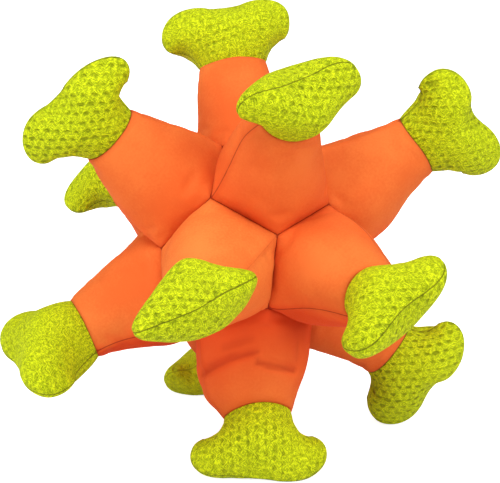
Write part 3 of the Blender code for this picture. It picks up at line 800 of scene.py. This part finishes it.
def mark_run(piece, end_row, count):
    rows, columns = vertex_marks(piece)
    run = piece.data.attributes.new("seam_run", "FLOAT", "CORNER")
    for face in piece.data.polygons:
        corners = list(face.vertices)
        own = [columns[v] for v in corners]
        for k, v in enumerate(corners):
            if rows[v] == end_row:
                beside = [(k + step) % len(corners) for step in (-1, 1)]
                own[k] = next((columns[corners[b]] for b in beside if rows[corners[b]] < end_row), own[k])
        wraps = max(own) - min(own) > 1
        for k, column in zip(face.loop_indices, own):
            run.data[k].value = float(column + (count if wraps and column == 0 else 0))


for name in ARMS:
    neck_mm = NECK_CLOSED_MM.get(name, CLOSED_MM)
    side_mm = SIDE_SEAM_CLOSED_MM.get(name, CLOSED_MM)
    mark_distance(SLEEVES[name], SLEEVE_END, SLEEVE_SEAMS[name], side_mm, neck_mm, 0.0)
    mark_distance(BONES[name], BONE_END, BONE_SEAMS, 0.0, 0.0, neck_mm)
    mark_run(BONES[name], BONE_END, 2 * PANEL_COLUMNS)
print("every panel knows how far its seams are")

# %% [markdown]
# ## Thickness
# Canvas is about 0.9 mm thick and the air mesh about 1.3 mm. Solidify gives the cloth that wall on its
# inner side, so that the outside keeps its place, and one level of subdivision rounds what is left of
# the quads.

# %% Walls of cloth
CANVAS_WALL = 0.0009
MESH_WALL = 0.0013


def thicken(piece, wall):
    smooth = piece.modifiers.new("round", "SUBSURF")
    smooth.levels = 1
    smooth.render_levels = 1
    solid = piece.modifiers.new("wall", "SOLIDIFY")
    solid.thickness = wall
    solid.offset = -1.0
    piece.data.polygons.foreach_set("use_smooth", [True] * len(piece.data.polygons))


for name in ARMS:
    thicken(SLEEVES[name], CANVAS_WALL)
    thicken(BONES[name], MESH_WALL)
print("walls of", round(CANVAS_WALL * TO_MM, 1), "mm canvas and", round(MESH_WALL * TO_MM, 1), "mm mesh")

# %% [markdown]
# ## Writing materials as sums
# A material is a small calculation that runs at every point of the surface. It reads better as a sum
# than as a web of nodes, so a value that varies is wrapped in a class that turns arithmetic into Math
# nodes. A finish holds one material and makes every other node through one method.

# %% A small language for materials
class Value:
    def __init__(self, finish, socket):
        self.finish = finish
        self.socket = socket

    def math(self, operation, *others):
        inputs = dict(enumerate((self, *others)))
        node = self.finish.node("ShaderNodeMath", {"operation": operation}, inputs)
        return Value(self.finish, node.outputs[0])

    def __add__(self, other):
        return self.math("ADD", other)

    def __sub__(self, other):
        return self.math("SUBTRACT", other)

    def __mul__(self, other):
        return self.math("MULTIPLY", other)

    def __truediv__(self, other):
        return self.math("DIVIDE", other)

    def __radd__(self, other):
        return self + other

    def __rmul__(self, other):
        return self * other

    def __rsub__(self, other):
        return self * -1.0 + other


class Finish:
    def __init__(self, name):
        self.material = bpy.data.materials.new(name)
        self.material.use_nodes = True
        self.tree = self.material.node_tree
        self.shader = self.tree.nodes["Principled BSDF"]

    def node(self, kind, settings, inputs):
        node = self.tree.nodes.new(kind)
        for key, value in settings.items():
            setattr(node, key, value)
        for key, value in inputs.items():
            self.plug(node.inputs[key], value)
        return node

    def plug(self, socket, value):
        if isinstance(value, Value):
            self.tree.links.new(value.socket, socket)
        elif isinstance(value, bpy.types.NodeSocket):
            self.tree.links.new(value, socket)
        else:
            socket.default_value = value

    def cloth_map(self):
        place = self.node("ShaderNodeUVMap", {"uv_map": "UVMap"}, {})
        parts = self.node("ShaderNodeSeparateXYZ", {}, {0: place.outputs[0]})
        return place.outputs[0], Value(self, parts.outputs[0]), Value(self, parts.outputs[1])

    def attribute(self, name):
        return Value(self, self.node("ShaderNodeAttribute", {"attribute_name": name}, {}).outputs["Fac"])

    def join(self, first, second):
        return self.node("ShaderNodeCombineXYZ", {}, {0: first, 1: second}).outputs[0]

    def noise(self, vector, scale, detail=2.0):
        inputs = {"Vector": vector, "Scale": scale, "Detail": detail}
        return Value(self, self.node("ShaderNodeTexNoise", {}, inputs).outputs["Fac"])

    def spread(self, value, low, high):
        settings = {"interpolation_type": "SMOOTHSTEP"}
        inputs = {"Value": value, "From Min": low, "From Max": high}
        return Value(self, self.node("ShaderNodeMapRange", settings, inputs).outputs[0])

    def mix(self, share, first, second):
        settings = {"data_type": "RGBA"}
        return self.node("ShaderNodeMix", settings, {0: share, 6: first, 7: second}).outputs[2]

    def bump(self, height, depth):
        return self.node("ShaderNodeBump", {}, {"Height": height, "Distance": depth}).outputs[0]

    def finish(self, **inputs):
        for name, value in inputs.items():
            self.plug(self.shader.inputs[name.replace("_", " ")], value)
        return self.material


def linear(red, green, blue):
    return (*[(v / 255.0) ** 2.2 for v in (red, green, blue)], 1.0)


print("a colour of 250, 100, 45 is", [round(v, 3) for v in linear(250, 100, 45)])

# %% [markdown]
# ## Orange canvas
# The sleeves are a plain-woven canvas: each thread passes over one thread and under the next. Two
# waves along the map, multiplied, give that chequer of over and under. Broad noise mottles the colour,
# and fine noise makes single threads lighter or darker. Shade is painted into the colour too: in the
# folds, and in a band beside the seams. Each sleeve gets more painted shade from one attribute, the
# sum of three parts for each point: a share for the sleeve, as some stand more in shade than others,
# painted shade that is deepest at the base by the ball and fades towards the neck, and painted shade
# on low undersides that face the floor. Canvas scatters light at its fibres, which the sheen gives.

# %% How much shade is painted on each sleeve
SLEEVE_PAINTED_SHADE = {
    "front_foot": 0.65, "right_foot": 0.35, "front_right": 0.3, "front_top": 0.4, "lower_left": 0.2,
    "upper_right": 0.2, "front_left": 0.0,
}
USUAL_PAINTED_SHADE = 0.3
BASE_SHADE_FADE = {"front_foot": (1.6, 1.2), "front_right": (1.4, 0.8)}
USUAL_BASE_SHADE_FADE = (1.15, 0.3)
UNDERSIDE_PAINTED_SHADE = {
    "right_foot": 0.1, "front_foot": 0.4, "rear_foot": 0.5, "front_right": 2.2, "lower_left": 2.0,
}
USUAL_UNDERSIDE_SHADE = 1.5
UNDERSIDE_TOP = 0.105
UNDERSIDE_FADE = 0.06


def dye(piece, share, shade_fade, underside_shade_share):
    marks = piece.data.attributes.new("dye", "FLOAT", "POINT")
    for vert, row, mark in zip(piece.data.vertices, vertex_marks(piece)[0], marks.data):
        # Painted shade: a share for each sleeve, deepest at the base by the ball and fading towards the
        # neck, plus more on low undersides.
        base_shade = shade_fade[0] - shade_fade[1] * min(row, SLEEVE_END) / SLEEVE_END
        low = min(1.0, max(0.0, (UNDERSIDE_TOP - vert.co.z) / UNDERSIDE_FADE))
        shaded_underside = max(0.0, -vert.normal.z) * low
        mark.value = min(1.0, share * base_shade + underside_shade_share * shaded_underside)


for name in ARMS:
    shade_fade = BASE_SHADE_FADE.get(name, USUAL_BASE_SHADE_FADE)
    dye(SLEEVES[name], SLEEVE_PAINTED_SHADE.get(name, USUAL_PAINTED_SHADE), shade_fade, UNDERSIDE_PAINTED_SHADE.get(name, USUAL_UNDERSIDE_SHADE))
print("painted shade on", len(SLEEVES), "sleeves")

# %% The canvas finish
CANVAS_DARK = linear(225, 107, 47)
CANVAS_LIGHT = linear(235, 126, 59)
CANVAS_SHADE_RED = linear(240, 82, 33)
CANVAS_DEEP_SHADE = linear(196, 50, 16)
CANVAS_FOLD_SHADE = linear(178, 40, 12)
CANVAS_SEAM_SHADE = linear(205, 62, 22)
CANVAS_SEAM = linear(150, 34, 10)
THREAD = 0.00055
CANVAS_RELIEF = 0.0003


def canvas_finish():
    finish = Finish("orange_canvas")
    place, u, v = finish.cloth_map()
    warp = (u * (math.tau / THREAD)).math("SINE")
    weft = (v * (math.tau / THREAD)).math("SINE")
    weave = warp * weft
    slub = finish.noise(place, 900.0, 1.0)
    mottle = finish.noise(place, 38.0, 3.0)
    near = 1.0 - finish.spread(finish.attribute("seam_mm"), 0.0, 3.2)
    pucker = finish.noise(place, 260.0, 1.0)
    shade = finish.spread(mottle + (slub - 0.5) * 0.35, 0.3, 0.72)
    stitched = 1.0 - finish.spread(finish.attribute("seam_mm") + (pucker - 0.5) * 0.3, 0.05, 0.5)
    shade_share = finish.attribute("dye")
    fold_shade = finish.spread(finish.attribute("fold"), 0.15, 1.0)
    cloth = finish.mix(shade, CANVAS_DARK, CANVAS_LIGHT)
    # Painted shade: the sleeve's shade share reddens the canvas, and darkens it most where the share is
    # highest.
    cloth = finish.mix(shade_share, cloth, CANVAS_SHADE_RED)
    cloth = finish.mix(shade_share * shade_share * shade_share * 0.45, cloth, CANVAS_DEEP_SHADE)
    # Painted shade in the folds.
    cloth = finish.mix(fold_shade * 0.5, cloth, CANVAS_FOLD_SHADE)
    # Painted shade in a band beside the seams.
    cloth = finish.mix(near * 0.25, cloth, CANVAS_SEAM_SHADE)
    cloth = finish.mix(stitched * 0.85, cloth, CANVAS_SEAM)
    height = weave * 0.12 + slub * 0.25 + pucker * near * 2.0 + mottle * 0.8
    return finish.finish(
        Base_Color=cloth,
        Roughness=0.82,
        Specular_IOR_Level=0.2,
        Sheen_Weight=0.08,
        Sheen_Roughness=0.4,
        Sheen_Tint=linear(255, 140, 60),
        Normal=finish.bump(height, CANVAS_RELIEF),
    )


ORANGE = canvas_finish()
print("one thread of canvas is", round(THREAD * TO_MM, 2), "mm wide")

# %% [markdown]
# ## Lime air mesh
# Air mesh is a thick knit with rows of oval eyelets, each row shifted by half a step. The map is bent
# a little by noise, so that no row is straight, and divided into cells of one eyelet. Every second row
# is shifted, and the distance from the cell's middle tells the eyelet from the threads round it. The
# threads are streaks of noise that run in chevrons between the eyelets, with a finer fuzz over them.
# The eyelets are deeper, and shade is painted into them in olive. They are open in some patches and
# nearly closed in others, as on the real cloth, and the share "open" adds to that where a bone end is
# packed tight, or takes from it where one is packed loosely. On two feet light is painted in: one
# share makes their mesh paler.

# %% How open the mesh is, and where light is painted on it
CLOTH_SHARES = {
    "bleach": {"rear_foot": 0.45, "right_foot": 0.12},
    "open": {"right_foot": 0.7, "upper_left": 0.3, "upper_right": 0.2, "lower_left": -0.6, "top": -0.4},
}
for mark, shares in CLOTH_SHARES.items():
    for name, share in shares.items():
        marks = BONES[name].data.attributes.new(mark, "FLOAT", "POINT")
        marks.data.foreach_set("value", [share] * len(BONES[name].data.vertices))
print("shares kept on the bone ends:", list(CLOTH_SHARES))

# %% The mesh finish
MESH_DARK = linear(142, 164, 0)
MESH_LIGHT = linear(246, 255, 34)
MESH_EYELET_SHADE = linear(112, 126, 0)
MESH_SEAM = linear(84, 88, 4)
MESH_FOLD_SHADE = linear(96, 100, 0)
MESH_PAINTED_LIGHT = linear(240, 255, 45)
EYELET_STEP = 0.0044
EYELET_ROW = 0.0037
EYELET_WIDE = 0.0014
EYELET_HIGH = 0.00075
CHEVRON_RISE = 0.8
WANDER = (0.0009, 0.0008)
SWAY = (0.0016, 0.0012)
MESH_RELIEF = 0.0006


def mesh_finish():
    finish = Finish("lime_mesh")
    place, u, v = finish.cloth_map()
    wander = finish.noise(place, 330.0, 1.0) - 0.5
    sway = finish.noise(place, 60.0, 2.0) - 0.5
    u = u + wander * WANDER[0] + sway * SWAY[0]
    v = v + wander * WANDER[1] + sway * SWAY[1]
    row = v / EYELET_ROW
    shift = (row / 2.0).math("FRACT").math("GREATER_THAN", 0.5) * 0.5
    across = (u / EYELET_STEP + shift).math("FRACT") - 0.5
    along = row.math("FRACT") - 0.5
    reach_u = across * (EYELET_STEP / EYELET_WIDE)
    reach_v = along * (EYELET_ROW / EYELET_HIGH)
    reach = (reach_u * reach_u + reach_v * reach_v).math("SQRT")
    closing = (finish.noise(place, 140.0, 1.0) - 0.5) * 1.4 + wander * 1.2
    open_patch = finish.spread(finish.noise(place, 50.0, 2.0), 0.38, 0.62) * 0.55 + 0.45
    opened = open_patch + finish.attribute("open") * 0.6
    eyelet = (1.0 - finish.spread(reach + closing, 0.4, 1.25)) * opened
    chevron = finish.join(v + across.math("ABSOLUTE") * (EYELET_STEP * CHEVRON_RISE), u * 0.4)
    thread = finish.spread(finish.noise(chevron, 1700.0, 2.0), 0.4, 0.6)
    fuzz = finish.spread(finish.noise(place, 2300.0, 1.0), 0.38, 0.62)
    seam = finish.attribute("seam_mm")
    rib = finish.spread(finish.noise(finish.join(finish.attribute("seam_run"), 0.0), 0.9, 1.0), 0.35, 0.65)
    ribbed = 1.0 - finish.spread(seam, 1.0, 8.0)
    stitched = 1.0 - finish.spread(seam + wander * 0.5, 0.1, 0.5)
    light = thread * 0.6 + fuzz * 0.4 + (rib - 0.5) * ribbed * 0.35
    fold_shade = finish.spread(finish.attribute("fold"), 0.1, 1.0)
    cloth = finish.mix(light, MESH_DARK, MESH_LIGHT)
    # Painted shade in the eyelets: they are real holes, and their olive stands in for the shade inside.
    cloth = finish.mix(eyelet * 0.56, cloth, MESH_EYELET_SHADE)
    cloth = finish.mix(stitched * 0.75, cloth, MESH_SEAM)
    # Painted shade in the folds and pinches of the mesh.
    cloth = finish.mix(fold_shade * 0.6, cloth, MESH_FOLD_SHADE)
    # Painted light: this share makes the mesh paler on two feet.
    cloth = finish.mix(finish.attribute("bleach"), cloth, MESH_PAINTED_LIGHT)
    height = thread * 0.4 + fuzz * 0.3 - eyelet * 1.4 + rib * ribbed * 0.8
    return finish.finish(
        Base_Color=cloth,
        Roughness=0.8,
        Specular_IOR_Level=0.15,
        Sheen_Weight=0.03,
        Sheen_Roughness=0.5,
        Sheen_Tint=linear(240, 250, 60),
        Normal=finish.bump(height, MESH_RELIEF),
    )


LIME = mesh_finish()
print("eyelets are", round(EYELET_STEP * TO_MM, 1), "mm apart, rows", round(EYELET_ROW * TO_MM, 1), "mm")

# %% [markdown]
# ## Fibre and plastic
# Inside, the toy is packed with white polyester fibre, and the ball holds a squeaker of pale plastic.
# The fibre is a tangle, so fine noise drives both its colour and its bumps. The plastic is smooth,
# with the faint clouding of a blown part.

# %% The inner finishes
FIBRE_RELIEF = 0.0008


def fibre_finish():
    finish = Finish("fibre_fill")
    place = finish.node("ShaderNodeTexCoord", {}, {}).outputs["Object"]
    strands = finish.noise(place, 700.0, 4.0)
    tufts = finish.noise(place, 120.0, 3.0)
    colour = finish.mix(strands, linear(206, 202, 192), linear(244, 242, 236))
    normal = finish.bump(strands * 0.6 + tufts, FIBRE_RELIEF)
    return finish.finish(Base_Color=colour, Roughness=0.95, Sheen_Weight=0.4, Normal=normal)


def plastic_finish():
    finish = Finish("pale_plastic")
    place = finish.node("ShaderNodeTexCoord", {}, {}).outputs["Object"]
    cloud = finish.noise(place, 90.0, 3.0)
    colour = finish.mix(cloud, linear(222, 216, 198), linear(238, 234, 220))
    return finish.finish(Base_Color=colour, Roughness=0.35 + cloud * 0.15, IOR=1.5)


FIBRE = fibre_finish()
PLASTIC = plastic_finish()
for name in ("squeaker_bellows", "squeaker_reed"):
    for place in frame["nodes"][name].material_slots:
        place.material = PLASTIC
print("inner finishes:", FIBRE.name, "and", PLASTIC.name)

# %% [markdown]
# ## The stuffing
# Each arm's stuffing and the ball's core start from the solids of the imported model, so that they fit
# inside the cloth. A copy is welded, its faces are divided, and noise pushes the surface in by up to a
# millimetre and a half, which gives the tufts of packed fibre.

# %% Tufted stuffing
TUFT_DEPTH = 0.0015
TUFT_SCALE = 180.0
LONG_EDGE = 0.004


def stuffing_from(node, name, arm=None):
    bm = bmesh.new()
    bm.from_mesh(frame["nodes"][node].data)
    bmesh.ops.remove_doubles(bm, verts=bm.verts, dist=MERGE_DISTANCE)
    long = [edge for edge in bm.edges if edge.calc_length() > LONG_EDGE]
    bmesh.ops.subdivide_edges(bm, edges=long, cuts=1, use_grid_fill=True)
    bmesh.ops.recalc_face_normals(bm, faces=bm.faces)
    bm.normal_update()
    for vert in bm.verts:
        depth = (noise.noise(vert.co * TUFT_SCALE) + 1.0) / 2.0
        vert.co -= vert.normal * TUFT_DEPTH * depth
        if arm:
            vert.co = pulled(arm, vert.co)
    for face in bm.faces:
        face.smooth = True
    return add_object(name, bm)


STUFFING = {name: stuffing_from("fill_" + name, "stuffing_" + name, arm) for name, arm in ARMS.items()}
CORE = stuffing_from("fill_core", "stuffing_core")
print("tufted", len(STUFFING) + 1, "pieces of fibre")

# %% [markdown]
# ## Dressing the moving model
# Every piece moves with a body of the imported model. A bone end and its stuffing ride on their arm. A
# sleeve crosses the arm's joint: it is sewn to its neighbours at the base and to the bone end at the
# neck, so it bends between the ball's core and the arm.

# %% Riding and bending
BEND_START = 0.038
BEND_END = 0.064


def dress(piece, material, slot, *nodes):
    piece.data.materials.append(material)
    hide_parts(*nodes)


for name, arm in ARMS.items():
    dress(SLEEVES[name], ORANGE, "orange_canvas", "sleeve_" + name + "_wide", "sleeve_" + name + "_narrow")
    start, end = (CENTRE + arm.axis * reach for reach in (BEND_START, BEND_END))
    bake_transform(SLEEVES[name], "core", "arm_" + name, start=start, end=end)
    dress(BONES[name], LIME, "lime_mesh", "bone_end_" + name)
    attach(BONES[name], "arm_" + name)
    dress(STUFFING[name], FIBRE, "fibre_fill", "fill_" + name)
    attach(STUFFING[name], "arm_" + name)
dress(CORE, FIBRE, "fibre_fill", "fill_core")
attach(CORE, "core")
print("dressed", 3 * len(ARMS) + 1, "pieces")

# %% [markdown]
# ## The floor
# The toy stands on a pale floor. It looks white to the camera and still keeps the toy's shadow: a
# little of its own glow, seen by the camera alone, lifts what the lamps light to white.

# %% The floor
FLOOR_HALF_WIDTH = 2.5
FLOOR_GLOW = 0.85
FLOOR_COLOUR = (0.86, 0.86, 0.86, 1.0)


def stage_floor():
    finish = Finish("pale_floor")
    rays = finish.node("ShaderNodeLightPath", {}, {})
    glow = finish.node("ShaderNodeEmission", {}, {"Strength": FLOOR_GLOW})
    seen = finish.node("ShaderNodeAddShader", {}, {0: finish.shader.outputs[0], 1: glow.outputs[0]})
    inputs = {0: rays.outputs["Is Camera Ray"], 1: finish.shader.outputs[0], 2: seen.outputs[0]}
    blend = finish.node("ShaderNodeMixShader", {}, inputs)
    finish.plug(finish.tree.nodes["Material Output"].inputs["Surface"], blend.outputs[0])
    bm = bmesh.new()
    bmesh.ops.create_grid(bm, x_segments=1, y_segments=1, size=FLOOR_HALF_WIDTH)
    floor = add_object("floor", bm)
    floor.data.materials.append(finish.finish(Base_Color=FLOOR_COLOUR, Roughness=0.9))
    return floor


print("the toy stands on the", stage_floor().name)

# %% [markdown]
# ## The light
# A studio lights a soft toy from all sides with large lamps, so that no shadow is hard. Eight round
# lamps do that here, and the strongest stand in front. The world adds a trace of light from
# everywhere, and the camera sees it as white.

# %% The lamps and the world
LAMPS = {
    "key": ((0.0, -0.75, 1.16), 9.5),
    "top": ((0.0, 0.0, 1.39), 4.5),
    "back": ((0.0, 0.85, 1.08), 2.0),
    "front_left": ((-0.81, -0.81, 0.70), 3.2),
    "front_right": ((0.81, -0.81, 0.70), 7.0),
    "left": ((-1.15, 0.0, 0.70), 3.8),
    "right": ((1.15, 0.0, 0.70), 3.6),
    "low_left": ((-1.22, -0.44, 0.20), 5.0),
}
LAMP_SIZE = 0.8
WORLD_LIGHT = 0.03
WHITE = (1.0, 1.0, 1.0, 1.0)


def area_light(name, place, power):
    lamp = bpy.data.lights.new(name, "AREA")
    lamp.shape = "DISK"
    lamp.size = LAMP_SIZE
    lamp.energy = power
    holder = bpy.data.objects.new(name, lamp)
    holder.location = place
    holder.rotation_euler = (CENTRE - Vector(place)).to_track_quat("-Z", "Y").to_euler()
    bpy.context.scene.collection.objects.link(holder)


def light_world():
    world = bpy.data.worlds.new("studio")
    world.use_nodes = True
    tree = world.node_tree
    back = tree.nodes["Background"]
    back.inputs["Color"].default_value = WHITE
    back.inputs["Strength"].default_value = WORLD_LIGHT
    white = tree.nodes.new("ShaderNodeBackground")
    white.inputs["Color"].default_value = WHITE
    rays = tree.nodes.new("ShaderNodeLightPath")
    mixed = tree.nodes.new("ShaderNodeMixShader")
    tree.links.new(rays.outputs["Is Camera Ray"], mixed.inputs[0])
    tree.links.new(back.outputs[0], mixed.inputs[1])
    tree.links.new(white.outputs[0], mixed.inputs[2])
    tree.links.new(mixed.outputs[0], tree.nodes["World Output"].inputs["Surface"])
    bpy.context.scene.world = world


light_world()
for name, (place, power) in LAMPS.items():
    area_light(name, place, power)
bpy.context.scene.view_settings.view_transform = "Standard"
print("lit by", len(LAMPS), "lamps")

# %% [markdown]
# ## The camera
# The photograph is 500 by 483 pixels. Lens, distance and height were found by fitting the toy's
# twelve-armed layout to it; the small shift gives the photograph's framing.

# %% The camera
CAMERA_DISTANCE = 0.864
CAMERA_LIFT_DEG = 19.5
NEAREST_SEEN = 0.01
PHOTO_WIDE = 500.0
PHOTO_HIGH = 483.0
FOCAL_PIXELS = 1953.3
MIDDLE_X = 247.34
MIDDLE_Y = 241.18
SENSOR = 36.0

lift = math.radians(CAMERA_LIFT_DEG)
camera = bpy.data.cameras.new("camera")
camera.sensor_width = SENSOR
camera.lens = FOCAL_PIXELS * SENSOR / PHOTO_WIDE
camera.shift_x = (PHOTO_WIDE / 2.0 - MIDDLE_X) / PHOTO_WIDE
camera.shift_y = (MIDDLE_Y - PHOTO_HIGH / 2.0) / PHOTO_WIDE
camera.clip_start = NEAREST_SEEN
holder = bpy.data.objects.new("camera", camera)
holder.location = CENTRE + Vector((0.0, -math.cos(lift), math.sin(lift))) * CAMERA_DISTANCE
holder.rotation_euler = (math.pi / 2.0 - lift, 0.0, 0.0)
bpy.context.scene.collection.objects.link(holder)
bpy.context.scene.camera = holder
print("the lens is", round(camera.lens, 1), "mm")
